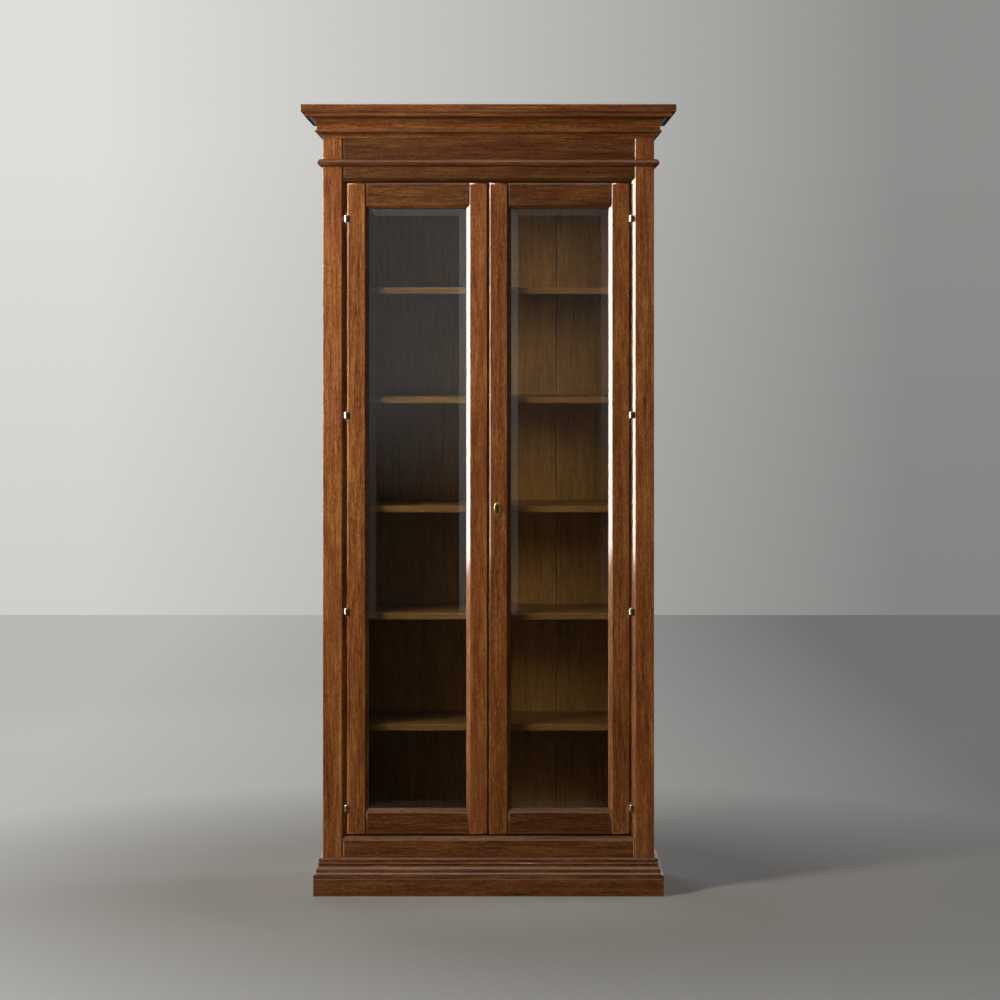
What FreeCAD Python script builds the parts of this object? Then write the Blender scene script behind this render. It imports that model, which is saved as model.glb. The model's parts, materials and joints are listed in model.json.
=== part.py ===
import FreeCAD, Part
import os

# Tall display cabinet with two glazed doors, five shelves and a moulded cornice.
# Millimetres. X to the right, the front faces -Y, Z up.
# The origin is at the middle of the bounding box, on the floor.

# Overall sizes
case_width = 1004.0
case_depth = 396.0
total_height = 2393.0
crown_projection = 64.0

# Boards of the case
side_thickness = 22.0
board_thickness = 22.0
back_thickness = 14.0
back_inset = 6.0
back_foot_gap = 60.0
middle_back_board = 214.0
back_joint_chamfer = 3.0
glue_block_leg = 40.0
glue_block_height = 30.0

# Face frame
frame_thickness = 25.0
frame_stile_width = 68.0
frame_chamfer = 12.0
joint_groove = 4.0
opening_bottom = 177.0
header_height = 206.0
bottom_rail_foot = 23.0
ceiling_rise = 9.0

# Cornice
slab_thickness = 24.0
slab_arris = 2.0
crown_height = 76.0
crown_fillet_projection = 52.3
crown_fillet_height = 12.6
crown_cove_top = 46.3
crown_cove_foot = 17.5
crown_cove_height = 29.5
bead_gap_height = 8.0
crown_bead_base = 19.0
crown_bead_height = 7.5
crown_foot_cove_height = 13.0
crown_foot_projection = 3.0
crown_foot_height = 3.0
crown_foot_fillet = 18.5

# Half-round band below the cornice
astragal_rise = 56.0
astragal_height = 21.2
astragal_band = 5.0

# Skirt at the foot
plinth_height = 53.0
plinth_thickness = 28.0
plinth_arris = 1.5
base_top = 113.5
base_lip_projection = 7.6
base_cove_drop = 7.0
base_cove_out = 4.2
base_fillet_drop = 4.6
base_quirk_drop = 2.4
base_quirk_in = 0.6
base_bead_height = 6.2
base_bead_gap = 3.6
base_torus_height = 18.0
base_torus_out = 8.6
base_torus_belly = 2.4
base_step_drop = 3.4
base_step_out = 2.4
base_step_height = 4.6

# Shelves and their pins
shelf_count = 5
shelf_thickness = 20.0
top_bay_extra = 17.0
second_shelf_raise = 6.0
shelf_setback = 58.0
shelf_end_play = 0.5
shelf_back_play = 0.3
shelf_arris = 1.5
pin_radius = 3.5
pin_in_panel = 10.0
pin_tab_length = 14.0
pin_tab_width = 12.0
pin_tab_thickness = 2.5
pin_inset = 55.0

# Hanging rail with its two wall screw holes
hanging_rail_height = 60.0
hanging_rail_thickness = 20.0
wall_hole_radius = 4.0
wall_hole_spacing = 600.0

# Doors
door_thickness = 25.0
door_setback = 6.0
door_side_gap = 4.0
door_end_gap = 5.0
meeting_gap = 3.0
door_stile_width = 66.0
door_top_rail_width = 77.0
door_bottom_rail_width = 78.0
door_chamfer = 12.0
door_arris = 4.0
glazing_lip = 3.0
rebate_width = 9.0

# Bevelled glass and its beads
glass_thickness = 6.0
glass_edge_thickness = 3.0
glass_bevel = 22.0
glass_play = 1.5
bead_rounding = 2.5

# Door stops
stop_lap = 10.0
stop_depth = 20.0
stop_clearance = 0.5

# Butt hinges with a short knuckle
hinge_count = 4
hinge_top_inset = 108.0
hinge_bottom_inset = 80.0
knuckle_radius = 6.0
knuckle_length = 17.0
door_knuckle_length = 6.0
knuckle_gap = 0.3
knuckle_clearance = 0.4
hinge_pin_radius = 2.5
hinge_pin_clearance = 0.05
hinge_axis_forward = 3.0
leaf_thickness = 1.5
leaf_height = 40.0
leaf_front_inset = 12.0
leaf_back_inset = 2.0
screw_head_radius = 3.2
screw_shank_radius = 1.6
screw_length = 16.0
screw_offset = 13.0

# Lock in the right door, with its escutcheon
lock_height = 1169.0
keyhole_inset = 26.0
keyhole_radius = 3.6
keyhole_rise = 7.0
keyhole_slot_width = 4.6
keyhole_slot_drop = 12.5
keyhole_clearance = 0.3
escutcheon_half_width = 10.25
escutcheon_half_height = 20.25
escutcheon_thickness = 3.0
escutcheon_plate = 1.4
escutcheon_rim = 2.6
escutcheon_rounding = 0.9
lock_case_length = 42.0
lock_case_height = 60.0
lock_case_thickness = 12.0
lock_play = 0.2
faceplate_thickness = 1.8
faceplate_width = 15.0
faceplate_height = 84.0
bolt_thickness = 8.0
bolt_height = 20.0
bolt_length = 20.0
bolt_play = 0.1
bolt_throw = 8.0
strike_play = 1.0
strike_depth = 12.0
strike_height = 52.0

# Surface bolts inside the left door
surface_bolt_inset = 28.0
surface_bolt_width = 18.0
surface_bolt_height = 50.0
surface_bolt_depth = 12.0
surface_bolt_gap = 8.0
rod_radius = 3.0
rod_play = 0.1
rod_length = 70.0
rod_stand_off = 1.5
rod_throw = 12.0
rod_socket_play = 0.6
knob_radius = 2.6
knob_length = 12.0
knob_place = 32.0

# Share of a cove's run and rise at which its arc has its middle
cove_mid_share = 0.29289
# Share of a quarter round's radius at which its arc has its middle
round_mid_share = 0.70711

# Every cutting body runs this far past what it cuts
overrun = 5.0

# Places worked out from the sizes
half_case = case_width / 2
front_y = (crown_projection - case_depth) / 2
back_y = (crown_projection + case_depth) / 2
inner_half = half_case - side_thickness
opening_half = half_case - frame_stile_width
frame_back_y = front_y + frame_thickness
back_face_y = back_y - back_inset - back_thickness
slab_underside = total_height - slab_thickness
opening_top = slab_underside - header_height
ceiling = opening_top + ceiling_rise
astragal_middle = opening_top + astragal_rise
shelf_pitch = (ceiling + shelf_thickness - top_bay_extra - opening_bottom) / (shelf_count + 1)
door_face_y = front_y + door_setback
door_back_y = door_face_y + door_thickness
door_outer = opening_half - door_side_gap
door_inner = meeting_gap / 2
door_width = door_outer - door_inner
door_bottom = opening_bottom + door_end_gap
door_top = opening_top - door_end_gap
door_face_width = door_stile_width - door_chamfer
glass_front_y = door_face_y + door_chamfer + glazing_lip
glass_back_y = glass_front_y + glass_thickness
hinge_x = opening_half - door_side_gap / 2
hinge_y = door_face_y - hinge_axis_forward
stop_front_y = door_back_y + stop_clearance
top_stop_bottom = door_top - stop_lap
bottom_stop_top = door_bottom + stop_lap
keyhole_x = door_inner + keyhole_inset
rod_x = door_inner + surface_bolt_inset
rod_y = door_back_y + surface_bolt_depth / 2
lock_mid_y = door_face_y + door_thickness / 2


def vec(x, y, z):
    return FreeCAD.Vector(x, y, z)


def box(x0, x1, y0, y1, z0, z1):
    """Solid box between two corners."""
    return Part.makeBox(x1 - x0, y1 - y0, z1 - z0, vec(x0, y0, z0))


def outline(steps, place):
    """Closed face from (a, b) line steps and (a_mid, b_mid, a, b) arc steps."""
    start = place(steps[0][0], steps[0][1])
    here = start
    edges = []
    for step in steps[1:]:
        there = place(step[-2], step[-1])
        if len(step) == len("arc") + 1:
            middle = place(step[0], step[1])
            edges.append(Part.Arc(here, middle, there).toShape())
        else:
            edges.append(Part.LineSegment(here, there).toShape())
        here = there
    edges.append(Part.LineSegment(here, start).toShape())
    return Part.Face(Part.Wire(edges))


def upright(steps, z0, z1):
    """Prism with an outline in X and Y that stands from z0 to z1."""
    face = outline(steps, lambda a, b: vec(a, b, z0))
    return face.extrude(vec(0, 0, z1 - z0))


def lengthwise(steps, x0, x1):
    """Prism with an outline in Y and Z that runs from x0 to x1."""
    face = outline(steps, lambda a, b: vec(x0, a, b))
    return face.extrude(vec(x1 - x0, 0, 0))


def mirrored(shape):
    """The same shape on the other side of the cabinet's middle plane."""
    return shape.mirror(vec(0, 0, 0), vec(1, 0, 0))


def group(shapes):
    return Part.makeCompound(shapes)


def shelf_top(number):
    """Height of a shelf's upper face. The second shelf from below sits a little high."""
    raised = second_shelf_raise if number == 1 else 0
    return opening_bottom + (number + 1) * shelf_pitch + raised


def side_pin_places():
    """Height of each shelf's underside with the two Y places of its pins."""
    back = back_face_y - shelf_back_play - pin_inset
    front = front_y + shelf_setback + pin_inset
    places = []
    for number in range(shelf_count):
        underside = shelf_top(number) - shelf_thickness
        places += [(underside, front), (underside, back)]
    return places


def pin_shank(underside, y):
    """Round shank of a shelf pin on the left side."""
    middle = underside - pin_radius
    start = vec(-inner_half - pin_in_panel, y, middle)
    return Part.makeCylinder(pin_radius, pin_in_panel + pin_tab_length, start, vec(1, 0, 0))


def shelf_pin(underside, y):
    tab = box(-inner_half, pin_tab_length - inner_half, y - pin_tab_width / 2,
              y + pin_tab_width / 2, underside - pin_tab_thickness, underside)
    return pin_shank(underside, y).fuse(tab).removeSplitter()


def shelf_pins():
    left = [shelf_pin(underside, y) for underside, y in side_pin_places()]
    return group(left + [mirrored(pin) for pin in left])


def side_panel():
    """Left side panel, bored for the shelf pins."""
    panel = box(-half_case, -inner_half, frame_back_y, back_y, 0, slab_underside)
    for underside, y in side_pin_places():
        panel = panel.cut(pin_shank(underside, y))
    return panel


def inner_board(z0):
    """Board across the case between the sides, with its underside at z0."""
    return box(-inner_half, inner_half, frame_back_y, back_face_y, z0, z0 + board_thickness)


def wall_hole(side):
    """Cutter for one wall screw hole through the hanging rail and the back."""
    start_y = back_face_y - hanging_rail_thickness - overrun
    start = vec(side * wall_hole_spacing / 2, start_y, ceiling - hanging_rail_height / 2)
    length = back_y - start_y + overrun
    return Part.makeCylinder(wall_hole_radius, length, start, vec(0, 1, 0))


def hanging_rail():
    rail = box(-inner_half, inner_half, back_face_y - hanging_rail_thickness, back_face_y,
               ceiling - hanging_rail_height, ceiling)
    return rail.cut(group([wall_hole(-1), wall_hole(1)]))


def back_board(x0, x1):
    """Upright back board with a small chamfer on both front edges."""
    front = back_face_y
    rear = back_face_y + back_thickness
    chamfer = back_joint_chamfer
    steps = [(x0, front + chamfer), (x0 + chamfer, front), (x1 - chamfer, front),
             (x1, front + chamfer), (x1, rear), (x0, rear)]
    board = upright(steps, back_foot_gap, slab_underside)
    return board.cut(group([wall_hole(-1), wall_hole(1)]))


def glue_block(y, direction, z0):
    """Three-cornered block in the left corner at y, running along direction."""
    steps = [(-inner_half, y), (glue_block_leg - inner_half, y),
             (-inner_half, y + direction * glue_block_leg)]
    return upright(steps, z0, z0 + glue_block_height)


def glue_blocks():
    heights = [opening_bottom - board_thickness - glue_block_height,
               slab_underside - glue_block_height]
    left = []
    for height in heights:
        left.append(glue_block(frame_back_y, 1, height))
        left.append(glue_block(back_face_y, -1, height))
    return group(left + [mirrored(block) for block in left])


def frame_stile():
    """Left stile of the face frame with its chamfer and hinge screw holes."""
    steps = [(-half_case, front_y), (-opening_half - frame_chamfer, front_y),
             (-opening_half, front_y + frame_chamfer), (-opening_half, frame_back_y),
             (-half_case, frame_back_y)]
    stile = upright(steps, 0, slab_underside)
    return stile.cut(group(jamb_screw_list()))


def groove_cutters(face_y, left_end, right_end, groove, z0, z1):
    """Wedges that ease a rail's two ends where they meet the stiles' chamfers."""
    reach = groove + overrun
    left = [(left_end - overrun, face_y - overrun), (left_end + groove * 2 + overrun, face_y - overrun),
            (left_end + groove - overrun, face_y + reach), (left_end - overrun, face_y + reach)]
    right = [(right_end + overrun, face_y - overrun), (right_end - groove * 2 - overrun, face_y - overrun),
             (right_end - groove + overrun, face_y + reach), (right_end + overrun, face_y + reach)]
    return [upright(left, z0, z1), upright(right, z0, z1)]


def frame_rail(steps, z0, z1):
    """Rail of the face frame, fitted over the chamfers of both stiles."""
    reach = opening_half + frame_chamfer
    rail = lengthwise(steps, -reach, reach)
    rail = rail.cut(frame_stile()).cut(mirrored(frame_stile()))
    wedges = groove_cutters(front_y, -reach, reach, joint_groove, z0 - overrun, z1 + overrun)
    for wedge in wedges:
        rail = rail.cut(wedge)
    return rail


def frame_header_rail():
    steps = [(front_y, slab_underside), (front_y, opening_top + frame_chamfer),
             (front_y + frame_chamfer, opening_top), (frame_back_y, opening_top),
             (frame_back_y, slab_underside)]
    return frame_rail(steps, opening_top, slab_underside)


def frame_bottom_rail():
    steps = [(front_y, bottom_rail_foot), (front_y, opening_bottom - frame_chamfer),
             (front_y + frame_chamfer, opening_bottom), (frame_back_y, opening_bottom),
             (frame_back_y, bottom_rail_foot)]
    return frame_rail(steps, bottom_rail_foot, opening_bottom)


def cornice_slab():
    """Top board that overhangs the cornice moulding at the front and sides."""
    half = half_case + crown_projection
    front = front_y - crown_projection
    slab = box(-half, half, front, back_y, slab_underside, total_height)
    long_edges = []
    for edge in slab.Edges:
        middle = edge.CenterOfMass
        if middle.y < back_y - slab_arris and abs(middle.z - slab_underside) != slab_thickness / 2:
            long_edges.append(edge)
    return slab.makeChamfer(slab_arris, long_edges)


def crown_steps():
    """Cornice moulding as projection from the case and height."""
    foot = slab_underside - crown_height
    foot_top = foot + crown_foot_height + crown_foot_cove_height
    bead_foot = foot_top + crown_foot_height / 3
    bead_top = bead_foot + crown_bead_height
    cove_top = slab_underside - crown_fillet_height
    cove_foot = cove_top - crown_cove_height
    foot_mid = crown_foot_projection + (crown_foot_fillet - crown_foot_projection) * cove_mid_share
    foot_mid_z = foot + crown_foot_height + crown_foot_cove_height * (1 - cove_mid_share)
    cove_mid = crown_cove_foot + (crown_cove_top - crown_cove_foot) * cove_mid_share
    cove_mid_z = cove_foot + crown_cove_height * (1 - cove_mid_share)
    bead_mid_z = (bead_foot + bead_top) / 2
    return [(0, foot), (crown_foot_projection, foot),
            (crown_foot_projection, foot + crown_foot_height),
            (foot_mid, foot_mid_z, crown_foot_fillet, foot_top),
            (crown_foot_fillet, bead_foot), (crown_bead_base, bead_foot),
            (crown_bead_base + crown_bead_height / 2, bead_mid_z, crown_bead_base, bead_top),
            (crown_cove_foot, bead_top), (crown_cove_foot, cove_foot),
            (cove_mid, cove_mid_z, crown_cove_top, cove_top),
            (crown_fillet_projection, cove_top),
            (crown_fillet_projection, slab_underside), (0, slab_underside)]


def astragal_steps():
    """Half-round band as projection from the case and height."""
    radius = astragal_height / 2
    low = astragal_middle - radius
    high = astragal_middle + radius
    return [(0, low), (astragal_band, low),
            (astragal_band + radius, astragal_middle, astragal_band, high), (0, high)]


def base_steps():
    """Base moulding as projection from the case and height, from the top down."""
    lip = base_lip_projection
    cove_z = base_top - base_cove_drop
    cove_x = lip + base_cove_out
    fillet_z = cove_z - base_fillet_drop
    quirk_x = cove_x - base_quirk_in
    bead_top = fillet_z - base_quirk_drop
    bead_foot = bead_top - base_bead_height
    torus_top = bead_foot - base_bead_gap
    torus_foot = torus_top - base_torus_height
    torus_x = quirk_x + base_torus_out
    torus_mid_x = (quirk_x + torus_x) / 2 + base_torus_belly
    torus_mid_z = (torus_top + torus_foot) / 2 + base_torus_belly
    step_z = torus_foot - base_step_drop
    step_x = torus_x + base_step_out
    step_foot = step_z - base_step_height
    return [(0, base_top), (lip, base_top), (lip + base_cove_out * (1 - cove_mid_share),
            cove_z + base_cove_drop * (1 - cove_mid_share), cove_x, cove_z),
            (cove_x, fillet_z), (quirk_x, fillet_z), (quirk_x, bead_top),
            (quirk_x + base_bead_height / 2, (bead_top + bead_foot) / 2, quirk_x, bead_foot),
            (quirk_x, torus_top), (torus_mid_x, torus_mid_z, torus_x, torus_foot),
            (torus_x, step_z), (step_x, step_z), (step_x, step_foot),
            (plinth_thickness, step_foot), (plinth_thickness, plinth_height), (0, plinth_height)]


def plinth_steps():
    """Plinth board as projection from the case and height."""
    return [(0, 0), (plinth_thickness, 0), (plinth_thickness, plinth_height - plinth_arris),
            (plinth_thickness - plinth_arris, plinth_height), (0, plinth_height)]


def mitred_front(steps, projection, z0, z1):
    """Run of moulding across the front, mitred at both corners."""
    reach = half_case + projection
    face = outline(steps, lambda out, z: vec(-reach, front_y - out, z))
    run = face.extrude(vec(2 * reach, 0, 0))
    plan = [(-half_case, front_y), (-reach, front_y - projection),
            (reach, front_y - projection), (half_case, front_y)]
    return run.common(upright(plan, z0, z1))


def mitred_side(steps, projection, z0, z1):
    """Run of moulding along the left side, mitred at the front corner."""
    reach = half_case + projection
    front = front_y - projection
    face = outline(steps, lambda out, z: vec(-half_case - out, front, z))
    run = face.extrude(vec(0, back_y - front, 0))
    plan = [(-half_case, front_y), (-reach, front), (-reach, back_y), (-half_case, back_y)]
    return run.common(upright(plan, z0, z1))


def moulding(name, steps, projection, z0, z1):
    """Front, left and right runs of one moulding, by node name."""
    left = mitred_side(steps, projection, z0, z1)
    return {name + "_front": mitred_front(steps, projection, z0, z1),
            name + "_left": left, name + "_right": mirrored(left)}


def shelf(number):
    """One shelf, with its front edges eased."""
    top = shelf_top(number)
    foot = top - shelf_thickness
    front = front_y + shelf_setback
    rear = back_face_y - shelf_back_play
    half = inner_half - shelf_end_play
    steps = [(front, foot + shelf_arris), (front, top - shelf_arris),
             (front + shelf_arris, top), (rear, top), (rear, foot), (front + shelf_arris, foot)]
    return lengthwise(steps, -half, half)


def socket_hole(z0, z1):
    """Cutter for the socket that takes a surface bolt's rod."""
    return Part.makeCylinder(rod_radius + rod_socket_play, z1 - z0, vec(-rod_x, rod_y, z0))


def door_stop(z0, z1):
    stop = box(-inner_half, inner_half, stop_front_y, stop_front_y + stop_depth, z0, z1)
    return stop.cut(socket_hole(z0 - overrun, z1 + overrun))


def member_steps(width, place):
    """Section of a door stile or rail: arris, chamfer, glazing lip and rebate."""
    face = door_face_y
    lip_front = face + door_chamfer
    rebate = width - rebate_width
    return [place(0, face + door_arris), place(door_arris, face),
            place(width - door_chamfer, face), place(width, lip_front),
            place(width, glass_front_y), place(rebate, glass_front_y),
            place(rebate, door_back_y), place(0, door_back_y)]


def end_arris_cutters():
    """Wedges that ease the door's top and bottom front edges."""
    face = door_face_y
    reach = door_arris + overrun
    top = [(face - overrun, door_top - reach), (face - overrun, door_top + overrun),
           (face + reach, door_top + overrun)]
    foot = [(face - overrun, door_bottom + reach), (face - overrun, door_bottom - overrun),
            (face + reach, door_bottom - overrun)]
    return [lengthwise(top, -door_outer - overrun, overrun),
            lengthwise(foot, -door_outer - overrun, overrun)]


def door_stile(place):
    """Full-height stile of the left door."""
    stile = upright(member_steps(door_stile_width, place), door_bottom, door_top)
    for wedge in end_arris_cutters():
        stile = stile.cut(wedge)
    return stile


def hinge_stile():
    return door_stile(lambda u, y: (u - door_outer, y)).cut(group(door_screw_list()))


def meeting_stile():
    return door_stile(lambda u, y: (-door_inner - u, y))


def door_rail(width, place, z0, z1):
    """Rail of the left door, coped over the chamfers of both stiles."""
    left_end = door_face_width - door_outer
    right_end = -door_inner - door_face_width
    rail = lengthwise(member_steps(width, place), left_end, right_end)
    rail = rail.cut(hinge_stile()).cut(meeting_stile())
    wedges = groove_cutters(door_face_y, left_end, right_end, joint_groove,
                            z0 - overrun, z1 + overrun)
    for wedge in wedges:
        rail = rail.cut(wedge)
    return rail


def door_top_rail():
    return door_rail(door_top_rail_width, lambda u, y: (y, door_top - u),
                     door_top - door_top_rail_width, door_top)


def door_bottom_rail():
    return door_rail(door_bottom_rail_width, lambda u, y: (y, door_bottom + u),
                     door_bottom, door_bottom + door_bottom_rail_width)


def rebate_box():
    """Outer edges of the left door's glazing rebate as x0, x1, z0, z1."""
    inset = door_stile_width - rebate_width
    return (inset - door_outer, -door_inner - inset,
            door_bottom + door_bottom_rail_width - rebate_width,
            door_top - door_top_rail_width + rebate_width)


def door_glass():
    """Bevelled pane of the left door, thinner at its edges."""
    x0, x1, z0, z1 = rebate_box()
    x0, x1, z0, z1 = x0 + glass_play, x1 - glass_play, z0 + glass_play, z1 - glass_play
    bevel = glass_bevel + rebate_width - glass_play
    edge_y = glass_back_y - glass_edge_thickness
    front = Part.makeWedge(x0 + bevel, glass_front_y, z0 + bevel, z0, x0,
                           x1 - bevel, edge_y, z1 - bevel, z1, x1)
    return front.fuse(box(x0, x1, edge_y, glass_back_y, z0, z1)).removeSplitter()


def bead_steps(start, direction, place):
    """Section of a glazing bead from the rebate's wall inwards."""
    width = direction * rebate_width
    rounding = direction * bead_rounding
    middle_in = rounding * (1 - round_mid_share)
    middle_back = bead_rounding * (1 - round_mid_share)
    return [place(start, glass_back_y), place(start + width, glass_back_y),
            place(start + width, door_back_y - bead_rounding),
            place(start + width - middle_in, door_back_y - middle_back)
            + place(start + width - rounding, door_back_y),
            place(start, door_back_y)]


def glazing_beads():
    """Four beads that hold the left door's pane."""
    x0, x1, z0, z1 = rebate_box()
    sides = [upright(bead_steps(x0, 1, lambda u, y: (u, y)), z0, z1),
             upright(bead_steps(x1, -1, lambda u, y: (u, y)), z0, z1)]
    start, end = x0 + rebate_width, x1 - rebate_width
    across = [lengthwise(bead_steps(z0, 1, lambda u, y: (y, u)), start, end),
              lengthwise(bead_steps(z1, -1, lambda u, y: (y, u)), start, end)]
    return group(sides + across)


def hinge_heights():
    low = door_bottom + hinge_bottom_inset
    high = door_top - hinge_top_inset
    step = (high - low) / (hinge_count - 1)
    return [low + step * number for number in range(hinge_count)]


def knuckle(z0, z1, bore):
    """Bored length of the left hinge barrel."""
    barrel = Part.makeCylinder(knuckle_radius, z1 - z0, vec(-hinge_x, hinge_y, z0))
    return barrel.cut(Part.makeCylinder(bore, z1 - z0, vec(-hinge_x, hinge_y, z0)))


def jamb_leaf(z):
    """Left jamb leaf with the two outer knuckles."""
    wall = -opening_half
    plate = box(wall, wall + leaf_thickness, front_y + leaf_front_inset,
                frame_back_y - leaf_back_inset, z - leaf_height / 2, z + leaf_height / 2)
    tongue = box(wall, wall + leaf_thickness, hinge_y, front_y + leaf_front_inset,
                 z - knuckle_length / 2, z + knuckle_length / 2)
    room = door_knuckle_length / 2 + knuckle_gap
    gap = Part.makeCylinder(knuckle_radius + knuckle_clearance, 2 * room,
                            vec(-hinge_x, hinge_y, z - room))
    pin_room = Part.makeCylinder(hinge_pin_radius, knuckle_length,
                                 vec(-hinge_x, hinge_y, z - knuckle_length / 2))
    leaf = plate.fuse([tongue, knuckle(z - knuckle_length / 2, z - room, hinge_pin_radius),
                       knuckle(z + room, z + knuckle_length / 2, hinge_pin_radius)])
    return leaf.cut(gap).cut(pin_room).removeSplitter().cut(group(jamb_screws_at(z)))


def door_leaf(z):
    """Left door leaf with the middle knuckle."""
    wall = -door_outer
    plate = box(wall - leaf_thickness, wall, front_y + leaf_front_inset,
                door_back_y - leaf_back_inset, z - leaf_height / 2, z + leaf_height / 2)
    half = door_knuckle_length / 2
    tongue = box(wall - leaf_thickness, wall, hinge_y, front_y + leaf_front_inset,
                 z - half, z + half)
    bore = hinge_pin_radius + hinge_pin_clearance
    pin_room = Part.makeCylinder(bore, 2 * half, vec(-hinge_x, hinge_y, z - half))
    leaf = plate.fuse([tongue, knuckle(z - half, z + half, bore)])
    return leaf.cut(pin_room).removeSplitter().cut(group(door_screws_at(z)))


def hinge_pin(z):
    return Part.makeCylinder(hinge_pin_radius, knuckle_length,
                             vec(-hinge_x, hinge_y, z - knuckle_length / 2))


def wood_screw(x, y, z, direction):
    """Countersunk screw with its head face at x, driven along X."""
    axis = vec(direction, 0, 0)
    head = Part.makeCone(screw_head_radius, screw_shank_radius, leaf_thickness, vec(x, y, z), axis)
    shank_start = vec(x + direction * leaf_thickness, y, z)
    shank = Part.makeCylinder(screw_shank_radius, screw_length, shank_start, axis)
    return head.fuse(shank).removeSplitter()


def jamb_screws_at(z):
    y = (front_y + leaf_front_inset + frame_back_y - leaf_back_inset) / 2
    x = leaf_thickness - opening_half
    return [wood_screw(x, y, z + offset, -1) for offset in (-screw_offset, screw_offset)]


def door_screws_at(z):
    y = (front_y + leaf_front_inset + door_back_y - leaf_back_inset) / 2
    x = -door_outer - leaf_thickness
    return [wood_screw(x, y, z + offset, 1) for offset in (-screw_offset, screw_offset)]


def jamb_screw_list():
    return [screw for z in hinge_heights() for screw in jamb_screws_at(z)]


def door_screw_list():
    return [screw for z in hinge_heights() for screw in door_screws_at(z)]


def both_sides(shapes):
    return group(shapes + [mirrored(shape) for shape in shapes])


def keyhole(grow, y0, y1):
    """Keyhole prism through the right door's meeting stile."""
    top = lock_height + keyhole_rise
    circle = Part.makeCylinder(keyhole_radius + grow, y1 - y0, vec(keyhole_x, y0, top), vec(0, 1, 0))
    half = keyhole_slot_width / 2 + grow
    slot = box(keyhole_x - half, keyhole_x + half, y0, y1, lock_height - keyhole_slot_drop - grow, top)
    return circle.fuse(slot).removeSplitter()


def ellipse_plate(half_width, half_height, y0, y1):
    """Oval plate round the keyhole."""
    curve = Part.Ellipse(vec(keyhole_x, y0, lock_height + half_height),
                         vec(keyhole_x + half_width, y0, lock_height),
                         vec(keyhole_x, y0, lock_height))
    face = Part.Face(Part.Wire(curve.toShape()))
    return face.extrude(vec(0, y1 - y0, 0))


def escutcheon():
    """Oval brass plate with a raised rim, pierced by the keyhole."""
    face = door_face_y
    plate = ellipse_plate(escutcheon_half_width, escutcheon_half_height,
                          face - escutcheon_thickness, face)
    rim_edges = [edge for edge in plate.Edges
                 if edge.BoundBox.YMax < face - escutcheon_thickness / 2]
    plate = plate.makeFillet(escutcheon_rounding, rim_edges)
    dish = ellipse_plate(escutcheon_half_width - escutcheon_rim,
                         escutcheon_half_height - escutcheon_rim,
                         face - escutcheon_thickness - overrun, face - escutcheon_plate)
    return plate.cut(dish).cut(keyhole(0, face - escutcheon_thickness - overrun, face + overrun))


def lock_blank(grow):
    """Outer shape of the lock: case and faceplate in the right door's edge."""
    half_t = lock_case_thickness / 2 + grow
    half_h = lock_case_height / 2 + grow
    case = box(door_inner, door_inner + lock_case_length + grow, lock_mid_y - half_t,
               lock_mid_y + half_t, lock_height - half_h, lock_height + half_h)
    half_w = faceplate_width / 2
    plate = box(door_inner, door_inner + faceplate_thickness, lock_mid_y - half_w,
                lock_mid_y + half_w, lock_height - faceplate_height / 2,
                lock_height + faceplate_height / 2)
    return case.fuse(plate).removeSplitter()


def bolt_channel(grow, x0, x1):
    """Box along the lock bolt's way, from x0 to x1."""
    half_t = bolt_thickness / 2 + grow
    half_h = bolt_height / 2 + grow
    return box(x0, x1, lock_mid_y - half_t, lock_mid_y + half_t,
               lock_height - half_h, lock_height + half_h)


def lock_case():
    channel = bolt_channel(bolt_play, door_inner - overrun, door_inner + bolt_length + bolt_play)
    key_way = keyhole(keyhole_clearance, door_face_y - overrun, door_back_y + overrun)
    return lock_blank(0).cut(channel).cut(key_way)


def lock_bolt():
    return bolt_channel(0, door_inner, door_inner + bolt_length)


def lock_stile():
    """Right meeting stile with the lock's mortise and the keyhole."""
    key_way = keyhole(keyhole_clearance, door_face_y - overrun, lock_mid_y)
    return mirrored(meeting_stile()).cut(lock_blank(lock_play)).cut(key_way)


def strike_blank():
    half_w = faceplate_width / 2
    return box(-door_inner - faceplate_thickness, -door_inner, lock_mid_y - half_w,
               lock_mid_y + half_w, lock_height - strike_height / 2,
               lock_height + strike_height / 2)


def strike_mortise():
    return bolt_channel(strike_play, -door_inner - strike_depth, overrun)


def strike_plate():
    return strike_blank().cut(strike_mortise())


def strike_stile():
    """Left meeting stile with the strike plate's mortise."""
    return meeting_stile().cut(strike_blank()).cut(strike_mortise())


def bolt_case(stop_edge, direction):
    """Housing of a surface bolt on the left door's meeting stile."""
    near = stop_edge - direction * surface_bolt_gap
    far = near - direction * surface_bolt_height
    low, high = min(near, far), max(near, far)
    half = surface_bolt_width / 2
    case = box(-rod_x - half, half - rod_x, door_back_y, door_back_y + surface_bolt_depth, low, high)
    bore = Part.makeCylinder(rod_radius + rod_play, high - low, vec(-rod_x, rod_y, low))
    knob_z = stop_edge - direction * knob_place
    ends = [knob_z, knob_z + direction * rod_throw]
    room = knob_radius + rod_play
    slot = box(-rod_x - room, room - rod_x, rod_y, door_back_y + surface_bolt_depth + overrun,
               min(ends) - room, max(ends) + room)
    return case.cut(bore).cut(slot)


def bolt_rod(stop_edge, direction):
    """Sliding rod of a surface bolt with its knob, drawn back from its socket."""
    tip = stop_edge - direction * rod_stand_off
    tail = tip - direction * rod_length
    rod = Part.makeCylinder(rod_radius, rod_length, vec(-rod_x, rod_y, min(tip, tail)))
    knob = Part.makeCylinder(knob_radius, knob_length,
                             vec(-rod_x, rod_y, stop_edge - direction * knob_place), vec(0, 1, 0))
    return rod.fuse(knob).removeSplitter()


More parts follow.
